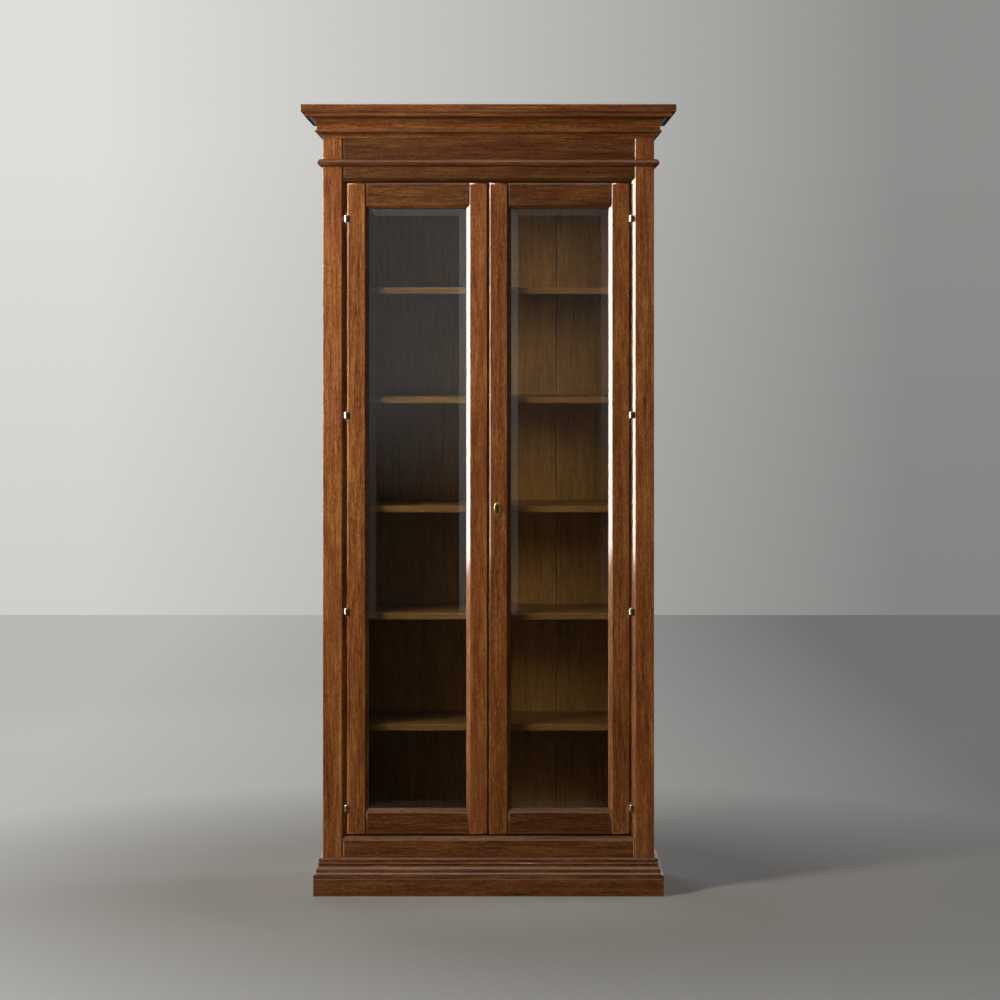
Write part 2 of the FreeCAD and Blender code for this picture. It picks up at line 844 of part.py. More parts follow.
def all_parts():
    """Every sub-part by node name."""
    side = side_panel()
    stile = frame_stile()
    parts = {
        "left_side_panel": side,
        "right_side_panel": mirrored(side),
        "top_board": inner_board(ceiling),
        "bottom_board": inner_board(opening_bottom - board_thickness),
        "hanging_rail": hanging_rail(),
        "glue_blocks": glue_blocks(),
        "frame_left_stile": stile,
        "frame_right_stile": mirrored(stile),
        "frame_header_rail": frame_header_rail(),
        "frame_bottom_rail": frame_bottom_rail(),
        "cornice_slab": cornice_slab(),
        "shelf_pins": shelf_pins(),
        "top_door_stop": door_stop(top_stop_bottom, ceiling),
        "bottom_door_stop": door_stop(opening_bottom, bottom_stop_top),
    }
    joints = [-inner_half, -middle_back_board, 0, middle_back_board, inner_half]
    for number, (x0, x1) in enumerate(zip(joints, joints[1:])):
        parts["back_board_" + str(number + 1)] = back_board(x0, x1)
    for number in range(shelf_count):
        parts["shelf_" + str(number + 1)] = shelf(number)

    crown_foot = slab_underside - crown_height
    parts.update(moulding("cornice_moulding", crown_steps(), crown_projection,
                          crown_foot, slab_underside))
    parts.update(moulding("base_moulding", base_steps(), plinth_thickness,
                          plinth_height, base_top))
    parts.update(moulding("plinth", plinth_steps(), plinth_thickness, 0, plinth_height))
    band = moulding("astragal", astragal_steps(), astragal_band + astragal_height / 2,
                    astragal_middle - astragal_height / 2, astragal_middle + astragal_height / 2)
    parts["astragal_front"] = band["astragal_front"]
    parts["astragal_returns"] = group([band["astragal_left"], band["astragal_right"]])

    heights = hinge_heights()
    parts["jamb_hinge_leaves"] = both_sides([jamb_leaf(z) for z in heights])
    parts["jamb_hinge_screws"] = both_sides(jamb_screw_list())
    parts["hinge_pins"] = both_sides([hinge_pin(z) for z in heights])

    door = {
        "hinge_stile": hinge_stile(),
        "top_rail": door_top_rail(),
        "bottom_rail": door_bottom_rail(),
        "glass": door_glass(),
        "glazing_beads": glazing_beads(),
        "hinge_leaves": group([door_leaf(z) for z in heights]),
        "hinge_screws": group(door_screw_list()),
    }
    for name, shape in door.items():
        parts["left_door_" + name] = shape
        parts["right_door_" + name] = mirrored(shape)
    parts["left_door_meeting_stile"] = strike_stile()
    parts["right_door_meeting_stile"] = lock_stile()

    parts["strike_plate"] = strike_plate()
    parts["lock_case"] = lock_case()
    parts["lock_bolt"] = lock_bolt()
    parts["escutcheon"] = escutcheon()
    parts["surface_bolt_cases"] = group([bolt_case(top_stop_bottom, 1),
                                         bolt_case(bottom_stop_top, -1)])
    parts["upper_bolt_rod"] = bolt_rod(top_stop_bottom, 1)
    parts["lower_bolt_rod"] = bolt_rod(bottom_stop_top, -1)
    return parts


os.makedirs("parts", exist_ok=True)
for node, shape in all_parts().items():
    shape.exportStep("parts/" + node + ".step")
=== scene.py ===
"""Finishes, small hardware and studio of a tall display cabinet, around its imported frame."""

import json
import math
import random

import bmesh
import bpy
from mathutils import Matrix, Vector

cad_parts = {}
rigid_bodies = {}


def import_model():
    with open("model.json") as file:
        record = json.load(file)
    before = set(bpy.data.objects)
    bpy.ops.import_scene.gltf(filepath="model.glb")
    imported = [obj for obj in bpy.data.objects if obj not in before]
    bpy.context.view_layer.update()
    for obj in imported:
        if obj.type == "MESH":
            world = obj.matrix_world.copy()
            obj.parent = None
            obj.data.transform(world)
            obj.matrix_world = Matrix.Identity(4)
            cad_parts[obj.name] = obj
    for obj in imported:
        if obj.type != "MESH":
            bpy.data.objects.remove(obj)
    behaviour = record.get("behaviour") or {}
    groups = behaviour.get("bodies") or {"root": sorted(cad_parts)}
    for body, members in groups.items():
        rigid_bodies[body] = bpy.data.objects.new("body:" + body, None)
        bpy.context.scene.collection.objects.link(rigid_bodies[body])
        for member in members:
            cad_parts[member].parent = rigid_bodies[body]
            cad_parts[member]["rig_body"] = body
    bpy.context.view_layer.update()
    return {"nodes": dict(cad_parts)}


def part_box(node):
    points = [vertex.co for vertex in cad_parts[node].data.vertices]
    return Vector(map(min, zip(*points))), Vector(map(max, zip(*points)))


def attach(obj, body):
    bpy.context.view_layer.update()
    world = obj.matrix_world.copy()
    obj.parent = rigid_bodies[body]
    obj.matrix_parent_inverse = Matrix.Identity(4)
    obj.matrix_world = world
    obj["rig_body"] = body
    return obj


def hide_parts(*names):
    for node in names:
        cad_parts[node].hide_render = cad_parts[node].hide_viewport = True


bl_info = {
    "name": "Display cabinet finishes",
    "version": (1, 0, 0),
    "blender": (4, 5, 0),
    "location": "View3D > Sidebar > Cabinet",
    "description": "Dresses the boards, glass and brass of a display cabinet and sets its studio",
    "category": "Object",
}

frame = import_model()
MM = 0.001

# Lightness of each kind of board and of a door's parts beside its stiles, partly stain, partly
# painted light.
# Painted light and shade: the left stile and door are lighter than the right ones, as light falls
# from the left, and the rails are darker, as the light runs along their grain.
TONES_AND_PAINTED_LIGHT = {"side_panel": 0.92, "inner_board": 0.5, "back_board": 0.7, "shelf": 0.52,
         "left_stile": 1.1, "right_stile": 0.95, "header_rail": 0.38, "bottom_rail": 0.5,
         "moulding": 0.55, "plinth": 0.6, "left_door": 0.9, "right_door": 0.8}
DOOR_RAIL_PAINTED_SHADE = 0.47
GLAZING_BEAD_SHARE = 0.52
TONE_CHANCE = 0.09

# Edges shorter than this keep their corner, and so do flatter ones
LEAST_EDGE = 12 * MM
LEAST_TURN = math.radians(30)

# Chamfers and joint grooves lie within these depths, and fall this much for each unit across
CHAMFER_DEPTH = 12.5 * MM
CHAMFER_SLOPE = 0.92
GROOVE_DEPTH = 4.5 * MM
GROOVE_SLOPE = 0.55
RAIL_FACET = 2.6 * MM

# Share of a hinge screw's whole length that is its countersunk head
SCREW_HEAD_SHARE = 0.0857
# How far a shelf pin's flat tab stays short of the side panel, and how thick it is
TAB_GAP = 0.5 * MM
TAB_THICKNESS = 2.5 * MM
# A hinge pin's domed button beside the pin's own radius
BUTTON_RADIUS = 1.7
BUTTON_HEIGHT = 0.8

# Where the camera stands, in metres, and its sensor in millimetres
FRONT_DISTANCE = 9.3
CAMERA_X = 34.8 * MM
CAMERA_Z = 1712 * MM
SENSOR_WIDTH = 36.0
# Size of a pixel at the face frame, pixels in the picture's width, and its row at eye height
PIXEL = 3.0315 * MM
PICTURE = 1000
HORIZON_ROW = 330
# From the middle of the square floor to its edges
FLOOR_REACH = 8.96

# Brightness of the parts of the room that lacquer, brass and glass mirror
DARK_LEVEL = 0.02
AHEAD_LEVEL = 0.42
ABOVE_LEVEL = 1.1
CEILING_LEVEL = 6.0
WINDOW_LEVEL = 22.0
LEFT_LEVEL = 0.3
RIGHT_LEVEL = 1.4


def linear(code):
    """Linear colour of an sRGB hex value such as #8f5b34."""
    channels = [int(code[start:start + 2], 16) / 255 for start in (1, 3, 5)]
    return tuple(c / 12.92 if c <= 0.04045 else ((c + 0.055) / 1.055) ** 2.4 for c in channels)


def colour(title, note, code):
    """Colour property with its default from an sRGB hex value."""
    return bpy.props.FloatVectorProperty(name=title, description=note, subtype="COLOR", size=3,
                                         min=0.0, max=1.0, default=linear(code))


def length(title, note, value):
    """Length property in metres."""
    return bpy.props.FloatProperty(name=title, description=note, subtype="DISTANCE",
                                   unit="LENGTH", min=0.0, default=value)


class CabinetWood(bpy.types.PropertyGroup):
    """Stain and grain of the boards."""

    dark: colour("Dark grain", "Stain in the late wood and the pores", "#4c2a10")
    middle: colour("Middle grain", "Stain over most of the surface", "#91582b")
    light: colour("Light grain", "Stain on the early wood", "#bd8448")
    red: colour("Red patches", "Warm patches in the stain", "#8a4526")
    inner: colour("Inside", "Stain of the shelves and the back", "#80582f")
    ring: length("Ring width", "Distance from one growth ring to the next", 13 * MM)
    streak: length("Streak width", "Width of a streak of grain across the board", 5 * MM)
    ease: length("Eased edge", "Rounding of the boards' edges", 1.4 * MM)


class CabinetMetal(bpy.types.PropertyGroup):
    """Brass and steel of the small hardware."""

    brass: colour("Brass", "Polished brass where hands rub it", "#c9a35c")
    tarnish: colour("Tarnish", "Brown tarnish in the brass", "#5d4320")
    rubbed: colour("Rubbed brass", "Pale worn places of the hinges", "#d8ccb4")
    browned: colour("Browned brass", "Nearly black brown of the hinges", "#2b2117")
    steel: colour("Steel", "Screws and lock bolt", "#8d8780")
    head_slot: length("Slot width", "Width of the slot in a screw's head", 0.9 * MM)


class CabinetStudio(bpy.types.PropertyGroup):
    """Floor, background and lamps."""

    ground: colour("Floor", "Plain pale floor near the cabinet", "#a8a59f")
    backdrop: colour("Background", "Plain pale background", "#dfdedb")
    key: bpy.props.FloatProperty(name="Key lamp", description="Power of the lamp at the front left",
                                 subtype="POWER", unit="POWER", min=0.0, default=54.0)
    card: bpy.props.FloatProperty(name="Side card", description="Power of the tall card at the left",
                                  subtype="POWER", unit="POWER", min=0.0, default=480.0)
    back: bpy.props.FloatProperty(name="Back lamp", description="Power of the lamp behind",
                                  subtype="POWER", unit="POWER", min=0.0, default=70.0)
    sky: bpy.props.FloatProperty(name="Fill", description="Strength of the even light all round",
                                 min=0.0, default=0.04)


def add(tree, kind, settings=None, links=None):
    """New node with its settings, its values, and its links where a value is a socket."""
    made = tree.nodes.new(kind)
    for name, value in (settings or {}).items():
        setattr(made, name, value)
    for key, value in (links or {}).items():
        if isinstance(value, bpy.types.NodeSocket):
            tree.links.new(value, made.inputs[key])
        else:
            made.inputs[key].default_value = value
    return made


def new_material(name):
    """Empty node material and its tree."""
    material = bpy.data.materials.new(name)
    material.use_nodes = True
    material.node_tree.nodes.clear()
    return material, material.node_tree


def streaks(tree, vector, across, along, detail):
    """Noise drawn out along the grain, from 0 to 1, in real sizes."""
    scaled = add(tree, "ShaderNodeMapping", {"vector_type": "POINT"},
                 {"Vector": vector, "Scale": (1 / across, 1 / across, 1 / along)})
    noise = add(tree, "ShaderNodeTexNoise", None,
                {"Vector": scaled.outputs[0], "Scale": 1.0, "Detail": detail, "Roughness": 0.6})
    return noise.outputs[0]


def maths(tree, operation, *values):
    """Result of one Math node."""
    return add(tree, "ShaderNodeMath", {"operation": operation},
               dict(enumerate(values))).outputs[0]


def times(tree, *values):
    """Product of two or more values."""
    product = values[0]
    for value in values[1:]:
        product = maths(tree, "MULTIPLY", product, value)
    return product


def spread(tree, value, low, high, to_low, to_high):
    """Value remapped from one range to another and held inside it."""
    return add(tree, "ShaderNodeMapRange", {"clamp": True},
               {"Value": value, "From Min": low, "From Max": high,
                "To Min": to_low, "To Max": to_high}).outputs[0]


def tinted(tree, blend, share, first, second):
    """Two colours mixed by a share."""
    mix = add(tree, "ShaderNodeMix", {"data_type": "RGBA", "blend_type": blend},
              {0: share, 6: first, 7: second})
    return mix.outputs[2]


def solid(rgb):
    """Opaque colour for a node's socket."""
    return (*rgb, 1.0)


def stained_walnut(name, dark, middle, light, red, coat, gloss):
    """Walnut, planed, stained brown and lacquered to a satin film.

    The eye sees short dark pores and flecks over drawn-out streaks, with faint growth rings and
    reddish patches, under a clear film that mirrors bright things softly. The real pores are
    about 0.3 mm wide and 3 mm long. Flecks of 1.3 and 2.6 mm are drawn, so that they show.
    """
    wood = bpy.context.scene.cabinet_wood
    material, tree = new_material(name)
    grain = add(tree, "ShaderNodeAttribute", {"attribute_name": "grain"}).outputs["Vector"]
    tone_and_painted_light = add(tree, "ShaderNodeAttribute", {"attribute_name": "tone_and_painted_light"}).outputs["Fac"]
    wear = add(tree, "ShaderNodeAttribute", {"attribute_name": "wear"}).outputs["Fac"]

    slow = streaks(tree, grain, 70 * MM, 460 * MM, 2.0)
    wide = streaks(tree, grain, 4 * wood.streak, 300 * MM, 3.0)
    medium = streaks(tree, grain, wood.streak, 80 * MM, 4.0)
    fleck = streaks(tree, grain, 2.6 * MM, 13 * MM, 3.0)
    pores = spread(tree, streaks(tree, grain, 1.3 * MM, 12 * MM, 2.0), 0.56, 0.7, 0.0, 1.0)

    # Growth rings round a pith that leans a little away from the board's length
    split = add(tree, "ShaderNodeSeparateXYZ", None, {0: grain})
    bend = maths(tree, "MULTIPLY_ADD", slow, 60 * MM, -30 * MM)
    ripple = maths(tree, "MULTIPLY_ADD", medium, 3 * MM, bend)
    lean = maths(tree, "MULTIPLY_ADD", split.outputs[2], 0.03, ripple)
    across = maths(tree, "ADD", split.outputs[0], lean)
    pith = add(tree, "ShaderNodeCombineXYZ", None, {0: across, 1: split.outputs[1]})
    radius = add(tree, "ShaderNodeVectorMath", {"operation": "LENGTH"}, {0: pith.outputs[0]})
    turns = maths(tree, "MULTIPLY", radius.outputs[1], 1 / wood.ring)
    late = maths(tree, "POWER", maths(tree, "FRACT", turns), 5.0)

    # From dark to light as the streaks add up, less the dark late wood
    figure = -0.77
    for streak, weight in ((medium, 0.9), (wide, 0.8), (fleck, 0.9), (late, -0.14)):
        figure = maths(tree, "MULTIPLY_ADD", streak, weight, figure)
    ramp = add(tree, "ShaderNodeValToRGB", None, {0: figure})
    stops = ramp.color_ramp.elements
    stops[0].position, stops[0].color = 0.16, solid(dark)
    stops[1].position, stops[1].color = 0.84, solid(light)
    stops.new(0.5).color = solid(middle)
    base = ramp.outputs[0]

    patches = spread(tree, streaks(tree, grain, 30 * MM, 90 * MM, 3.0), 0.45, 0.66, 0.0, 0.5)
    base = tinted(tree, "MIX", patches, base, solid(red))
    base = tinted(tree, "MIX", maths(tree, "MULTIPLY", pores, 0.6), base,
                  solid(tuple(c * 0.5 for c in dark)))
    rubbed = maths(tree, "MULTIPLY", wear, spread(tree, wide, 0.4, 0.65, 0.1, 0.5))
    base = tinted(tree, "MIX", rubbed, base, solid(tuple(min(1.0, c * 1.4) for c in light)))
    # Each board's lightness scales its colour: partly random stain, partly painted light and shade
    base = add(tree, "ShaderNodeVectorMath", {"operation": "SCALE"}, {0: base, 3: tone_and_painted_light}).outputs[0]

    height = maths(tree, "MULTIPLY_ADD", fleck, 0.4, maths(tree, "MULTIPLY", medium, 0.4))
    height = maths(tree, "MULTIPLY_ADD", pores, -0.8, height)
    bump = add(tree, "ShaderNodeBump", None,
               {"Strength": 0.3, "Distance": 0.2 * MM, "Height": height})
    film = add(tree, "ShaderNodeBump", None,
               {"Strength": 0.05, "Distance": 0.2 * MM, "Height": height})
    shader = add(tree, "ShaderNodeBsdfPrincipled", None, {
        "Base Color": base,
        "Roughness": spread(tree, medium, 0.3, 0.7, gloss - 0.06, gloss + 0.1),
        "Normal": bump.outputs[0], "IOR": 1.5, "Specular IOR Level": 0.05,
        "Coat Weight": coat, "Coat Roughness": 0.09, "Coat IOR": 1.5,
        "Coat Normal": film.outputs[0]})
    add(tree, "ShaderNodeOutputMaterial", None, {0: shader.outputs[0]})
    return material


def brass(name, bright, stain, low, high):
    """Cast brass, once polished, now brown in patches and bright where it is rubbed."""
    material, tree = new_material(name)
    place_of = add(tree, "ShaderNodeTexCoord").outputs["Object"]
    cloud = streaks(tree, place_of, 7 * MM, 7 * MM, 4.0)
    speck = streaks(tree, place_of, 0.8 * MM, 0.8 * MM, 2.0)
    share = spread(tree, cloud, 0.42, 0.7, low, high)
    base = tinted(tree, "MIX", share, solid(bright), solid(stain))
    bump = add(tree, "ShaderNodeBump", None,
               {"Strength": 0.15, "Distance": 0.05 * MM, "Height": speck})
    shader = add(tree, "ShaderNodeBsdfPrincipled", None, {
        "Base Color": base, "Metallic": 1.0,
        "Roughness": spread(tree, cloud, 0.35, 0.7, 0.14, 0.35), "Normal": bump.outputs[0]})
    add(tree, "ShaderNodeOutputMaterial", None, {0: shader.outputs[0]})
    return material


def tarnished_brass(name):
    """Brass of the lock, bolts and shelf pins, with a little tarnish."""
    metal = bpy.context.scene.cabinet_metal
    return brass(name, metal.brass, metal.tarnish, 0.0, 0.85)


def browned_brass(name):
    """Brass of the hinges, browned nearly black, which shows only its highlights."""
    metal = bpy.context.scene.cabinet_metal
    return brass(name, metal.rubbed, metal.browned, 0.4, 0.95)


def turned_steel(name):
    """Turned steel of the screws and the lock's bolt, dull and a little stained."""
    metal = bpy.context.scene.cabinet_metal
    material, tree = new_material(name)
    place_of = add(tree, "ShaderNodeTexCoord").outputs["Object"]
    cloud = streaks(tree, place_of, 3 * MM, 3 * MM, 4.0)
    stain = solid(tuple(c * 0.45 for c in metal.steel))
    base = tinted(tree, "MIX", spread(tree, cloud, 0.4, 0.7, 0.0, 0.7), solid(metal.steel), stain)
    bump = add(tree, "ShaderNodeBump", None,
               {"Strength": 0.2, "Distance": 0.05 * MM, "Height": cloud})
    shader = add(tree, "ShaderNodeBsdfPrincipled", None, {
        "Base Color": base, "Metallic": 1.0,
        "Roughness": spread(tree, cloud, 0.3, 0.7, 0.28, 0.5), "Normal": bump.outputs[0]})
    add(tree, "ShaderNodeOutputMaterial", None, {0: shader.outputs[0]})
    return material


def plate_glass(name):
    """Old polished plate glass: clear, faintly green, and not quite flat, so reflections waver."""
    material, tree = new_material(name)
    place_of = add(tree, "ShaderNodeTexCoord").outputs["Object"]
    wave = streaks(tree, place_of, 120 * MM, 160 * MM, 1.0)
    bump = add(tree, "ShaderNodeBump", None,
               {"Strength": 0.12, "Distance": 1.0 * MM, "Height": wave})
    film = spread(tree, streaks(tree, place_of, 70 * MM, 70 * MM, 3.0), 0.4, 0.7, 0.0, 0.03)
    glass = add(tree, "ShaderNodeBsdfPrincipled", None, {
        "Base Color": solid(linear("#f3f8f4")), "Roughness": film, "IOR": 1.52,
        "Transmission Weight": 1.0, "Normal": bump.outputs[0]})
    open_way = add(tree, "ShaderNodeBsdfTransparent", None, {0: solid(linear("#eef3ef"))})
    lamp_ray = add(tree, "ShaderNodeLightPath").outputs["Is Shadow Ray"]
    mixed = add(tree, "ShaderNodeMixShader", None,
                {0: lamp_ray, 1: glass.outputs[0], 2: open_way.outputs[0]})
    add(tree, "ShaderNodeOutputMaterial", None, {0: mixed.outputs[0]})
    return material


def shared(name, maker):
    """Material of that name, made on first use."""
    return bpy.data.materials.get(name) or maker(name)


def front_walnut(name):
    """Lacquered walnut of the case, doors or mouldings."""
    wood = bpy.context.scene.cabinet_wood
    return stained_walnut(name, wood.dark, wood.middle, wood.light, wood.red, 0.35, 0.4)


def inner_walnut(name):
    """The same wood inside, with a thin film and no polish."""
    wood = bpy.context.scene.cabinet_wood
    pale = tuple(min(1.0, c * 1.35) for c in wood.inner)
    deep = tuple(c * 0.5 for c in wood.inner)
    red = tuple(c * 0.8 for c in wood.inner)
    return stained_walnut(name, deep, wood.inner, pale, red, 0.15, 0.5)


def merged(node):
    """Solid faces of a CAD node as a bmesh with shared corners."""
    work = bmesh.new()
    work.from_mesh(frame["nodes"][node].data)
    bmesh.ops.remove_doubles(work, verts=work.verts, dist=MM / 1000)
    flat = math.radians(0.3)
    bmesh.ops.dissolve_limit(work, angle_limit=flat, verts=work.verts, edges=work.edges)
    return work


def islands(work):
    """Lists of corners that hang together, one for each solid."""
    left = set(work.verts)
    found = []
    for first in work.verts:
        if first not in left:
            continue
        left.discard(first)
        group = [first]
        for corner in group:
            for edge in corner.link_edges:
                other = edge.other_vert(corner)
                if other in left:
                    left.discard(other)
                    group.append(other)
        found.append(group)
    return found


def corners(group):
    """Lowest and highest corner of a group of vertices."""
    low = Vector([min(v.co[axis] for v in group) for axis in range(3)])
    high = Vector([max(v.co[axis] for v in group) for axis in range(3)])
    return low, high


def solid_boxes(node):
    """Lowest and highest corner of each solid in a CAD node."""
    work = merged(node)
    boxes = [corners(group) for group in islands(work)]
    work.free()
    return boxes


def body_of(node):
    """Body that a CAD node rides on."""
    return frame["nodes"][node]["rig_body"]


def place(name, mesh, material, node):
    """Object of a finished mesh that stands for a CAD node and rides on its body."""
    mesh.materials.clear()
    mesh.materials.append(material)
    piece = bpy.data.objects.new(name, mesh)
    bpy.context.scene.collection.objects.link(piece)
    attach(piece, body_of(node))
    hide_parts(node)
    return piece


def eased(work, width, least):
    """Rounds the long sharp edges and returns the new narrow faces."""
    sharp = [edge for edge in work.edges
             if edge.is_manifold and edge.calc_length() > least
             and edge.calc_face_angle(0.0) > LEAST_TURN]
    made = bmesh.ops.bevel(work, geom=sharp, offset=width, offset_type="OFFSET", segments=2,
                           profile=0.5, affect="EDGES", clamp_overlap=True)
    return set(made["faces"])


def write_grain(work, mesh, node, rubbed, tone_and_painted_light):
    """Grain coordinates, lightness and wear of a board, solid by solid; the lightness is partly
    painted light.
    """
    chance = random.Random(node)
    mesh.attributes.new("grain", "FLOAT_VECTOR", "POINT")
    mesh.attributes.new("tone_and_painted_light", "FLOAT", "POINT")
    mesh.attributes.new("wear", "FLOAT", "FACE")
    grain, shade, wear = [mesh.attributes[name] for name in ("grain", "tone_and_painted_light", "wear")]
    for group in islands(work):
        low, high = corners(group)
        size = high - low
        along = max(range(3), key=lambda axis: size[axis])
        first, second = [axis for axis in range(3) if axis != along]
        if size[first] < size[second]:
            first, second = second, first
        shift = Vector((chance.uniform(-0.08, 0.08), chance.uniform(0.06, 0.13),
                        chance.uniform(0.0, 40.0)))
        middle = (low + high) / 2
        local_tone = tone_and_painted_light * chance.uniform(1 - TONE_CHANCE, 1 + TONE_CHANCE)
        for corner in group:
            away = corner.co - middle
            value = (away[first] + shift.x, away[second] + shift.y, away[along] + shift.z)
            grain.data[corner.index].vector = value
            shade.data[corner.index].value = local_tone
    for face in work.faces:
        wear.data[face.index].value = 1.0 if face in rubbed else 0.0


def flattened(work, face, rail):
    """Makes chamfers behind a front face at y, and a rail's joint grooves, a little shallower.

    Planed by hand, they aren't quite 45 degrees, and so they catch light from the side.
    """
    for corner in work.verts:
        depth = corner.co.y - face
        if rail and 0 < depth < GROOVE_DEPTH:
            corner.co.y = face + depth * GROOVE_SLOPE
        elif 0 < depth < CHAMFER_DEPTH:
            corner.co.y = face + depth * CHAMFER_SLOPE


def nicked(work, face):
    """Cuts a narrow facet on each front end of a rail, where it meets a stile."""
    low, high = corners(work.verts)
    ends = []
    for edge in work.edges:
        first, second = [corner.co for corner in edge.verts]
        upright = abs(first.z - second.z) > LEAST_EDGE and abs(first.x - second.x) < MM / 10
        front = max(first.y, second.y) < face + MM / 10
        outer = min(first.x - low.x, high.x - first.x) < MM
        if upright and front and outer:
            ends.append(edge)
    bmesh.ops.bevel(work, geom=ends, offset=RAIL_FACET, offset_type="OFFSET", segments=1,
                    affect="EDGES", clamp_overlap=True)


def board(node, material, tone_and_painted_light, ease=True, face=None):
    """Wooden piece from a CAD node, with eased edges and its own grain."""
    work = merged(node)
    rail = node.endswith("rail")
    if face is not None:
        if rail:
            nicked(work, face)
        flattened(work, face, rail)
    rubbed = set()
    if ease:
        rubbed = eased(work, bpy.context.scene.cabinet_wood.ease, LEAST_EDGE)
    for side in work.faces:
        side.smooth = True
    for group in (work.verts, work.edges, work.faces):
        group.index_update()
    mesh = bpy.data.meshes.new(node)
    work.to_mesh(mesh)
    write_grain(work, mesh, node, rubbed, tone_and_painted_light)
    work.free()
    mesh.set_sharp_from_angle(angle=math.radians(50 if ease else 24))
    piece = place(node + "_board", mesh, material, node)
    piece.modifiers.new("even_normals", "WEIGHTED_NORMAL").keep_sharp = True


def casting(node, material, width, least):
    """Metal piece from a CAD node, with small rounded edges."""
    work = merged(node)
    if width:
        eased(work, width, least)
    for face in work.faces:
        face.smooth = True
    mesh = bpy.data.meshes.new(node)
    work.to_mesh(mesh)
    work.free()
    mesh.set_sharp_from_angle(angle=math.radians(40))
    piece = place(node + "_metal", mesh, material, node)
    piece.modifiers.new("even_normals", "WEIGHTED_NORMAL").keep_sharp = True


def new_tree(name, sizes):
    """Geometry tree with a geometry input, named length inputs and a geometry output."""
    tree = bpy.data.node_groups.new(name, "GeometryNodeTree")
    tree.interface.new_socket("Geometry", in_out="INPUT", socket_type="NodeSocketGeometry")
    for title in sizes:
        socket = tree.interface.new_socket(title, in_out="INPUT", socket_type="NodeSocketFloat")
        socket.subtype = "DISTANCE"
    tree.interface.new_socket("Geometry", in_out="OUTPUT", socket_type="NodeSocketGeometry")
    return tree, add(tree, "NodeGroupInput").outputs


def aimed_copies(tree, points, shape, material):
    """Puts the shape on each point, turned to the point's aim, as plain faces."""
    aim = add(tree, "GeometryNodeInputNamedAttribute", {"data_type": "FLOAT_VECTOR"},
              {"Name": "aim"}).outputs[0]
    turn = add(tree, "FunctionNodeAxesToRotation", {"primary_axis": "Z", "secondary_axis": "X"},
               {"Primary Axis": aim, "Secondary Axis": (0.0, 0.0, 1.0)})
    copies = add(tree, "GeometryNodeInstanceOnPoints", None,
                 {"Points": points, "Instance": shape, "Rotation": turn.outputs[0]})
    plain = add(tree, "GeometryNodeRealizeInstances", None, {0: copies.outputs[0]})
    coloured = add(tree, "GeometryNodeSetMaterial", None,
                   {"Geometry": plain.outputs[0], "Material": material})
    add(tree, "NodeGroupOutput", None, {0: coloured.outputs[0]})


def moved(tree, shape, offset):
    """Shape moved by an offset of three values or sockets."""
    way = add(tree, "ShaderNodeCombineXYZ", None, dict(enumerate(offset))).outputs[0]
    return add(tree, "GeometryNodeTransform", None,
               {"Geometry": shape, "Translation": way}).outputs[0]


def screw_tree(material):
    """Countersunk screws with slotted heads, driven from each point along its aim."""
    sizes = ["Head radius", "Shank radius", "Head depth", "Shank length", "Slot width"]
    tree, given = new_tree("countersunk_screws", sizes)
    head = add(tree, "GeometryNodeMeshCone", None,
               {"Vertices": 28, "Radius Top": given["Shank radius"],
                "Radius Bottom": given["Head radius"], "Depth": given["Head depth"]}).outputs[0]
    # The slot's cutter is longer than the head is wide, and goes nearly halfway into it
    slot_length = maths(tree, "MULTIPLY", given["Head radius"], 2.4)
    slot_depth = maths(tree, "MULTIPLY", given["Head depth"], 0.9)
    size = add(tree, "ShaderNodeCombineXYZ", None,
               {0: given["Slot width"], 1: slot_length, 2: slot_depth}).outputs[0]
    slot = add(tree, "GeometryNodeMeshCube", None, {"Size": size}).outputs[0]
    head = add(tree, "GeometryNodeMeshBoolean", {"operation": "DIFFERENCE", "solver": "EXACT"},
               {"Mesh 1": head, "Mesh 2": slot}).outputs[0]
    shank = add(tree, "GeometryNodeMeshCylinder", None,
                {"Vertices": 16, "Radius": given["Shank radius"],
                 "Depth": given["Shank length"]}).outputs[0]
    half = maths(tree, "MULTIPLY_ADD", given["Shank length"], 0.5, given["Head depth"])
    shank = moved(tree, shank, (0.0, 0.0, half))
    joined = add(tree, "GeometryNodeJoinGeometry")
    for part in (shank, head):
        tree.links.new(part, joined.inputs[0])
    aimed_copies(tree, given["Geometry"], joined.outputs[0], material)
    return tree


def pin_tree(material):
    """Round pins with a domed button on each end, centred on each point."""
    tree, given = new_tree("domed_pins", ["Radius", "Length", "Button radius", "Button height"])
    stem = add(tree, "GeometryNodeMeshCylinder", None,
               {"Vertices": 24, "Radius": given["Radius"], "Depth": given["Length"]}).outputs[0]
    ball = add(tree, "GeometryNodeMeshUVSphere", None,
               {"Segments": 24, "Rings": 12, "Radius": given["Button radius"]}).outputs[0]
    flatness = maths(tree, "DIVIDE", given["Button height"], given["Button radius"])
    squat = add(tree, "ShaderNodeCombineXYZ", None, {0: 1.0, 1: 1.0, 2: flatness}).outputs[0]
    button = add(tree, "GeometryNodeTransform", None, {"Geometry": ball, "Scale": squat}).outputs[0]
    joined = add(tree, "GeometryNodeJoinGeometry")
    tree.links.new(stem, joined.inputs[0])
    for side in (-0.5, 0.5):
        end = moved(tree, button, (0.0, 0.0, maths(tree, "MULTIPLY", given["Length"], side)))
        tree.links.new(end, joined.inputs[0])
    aimed_copies(tree, given["Geometry"], joined.outputs[0], material)
    return tree


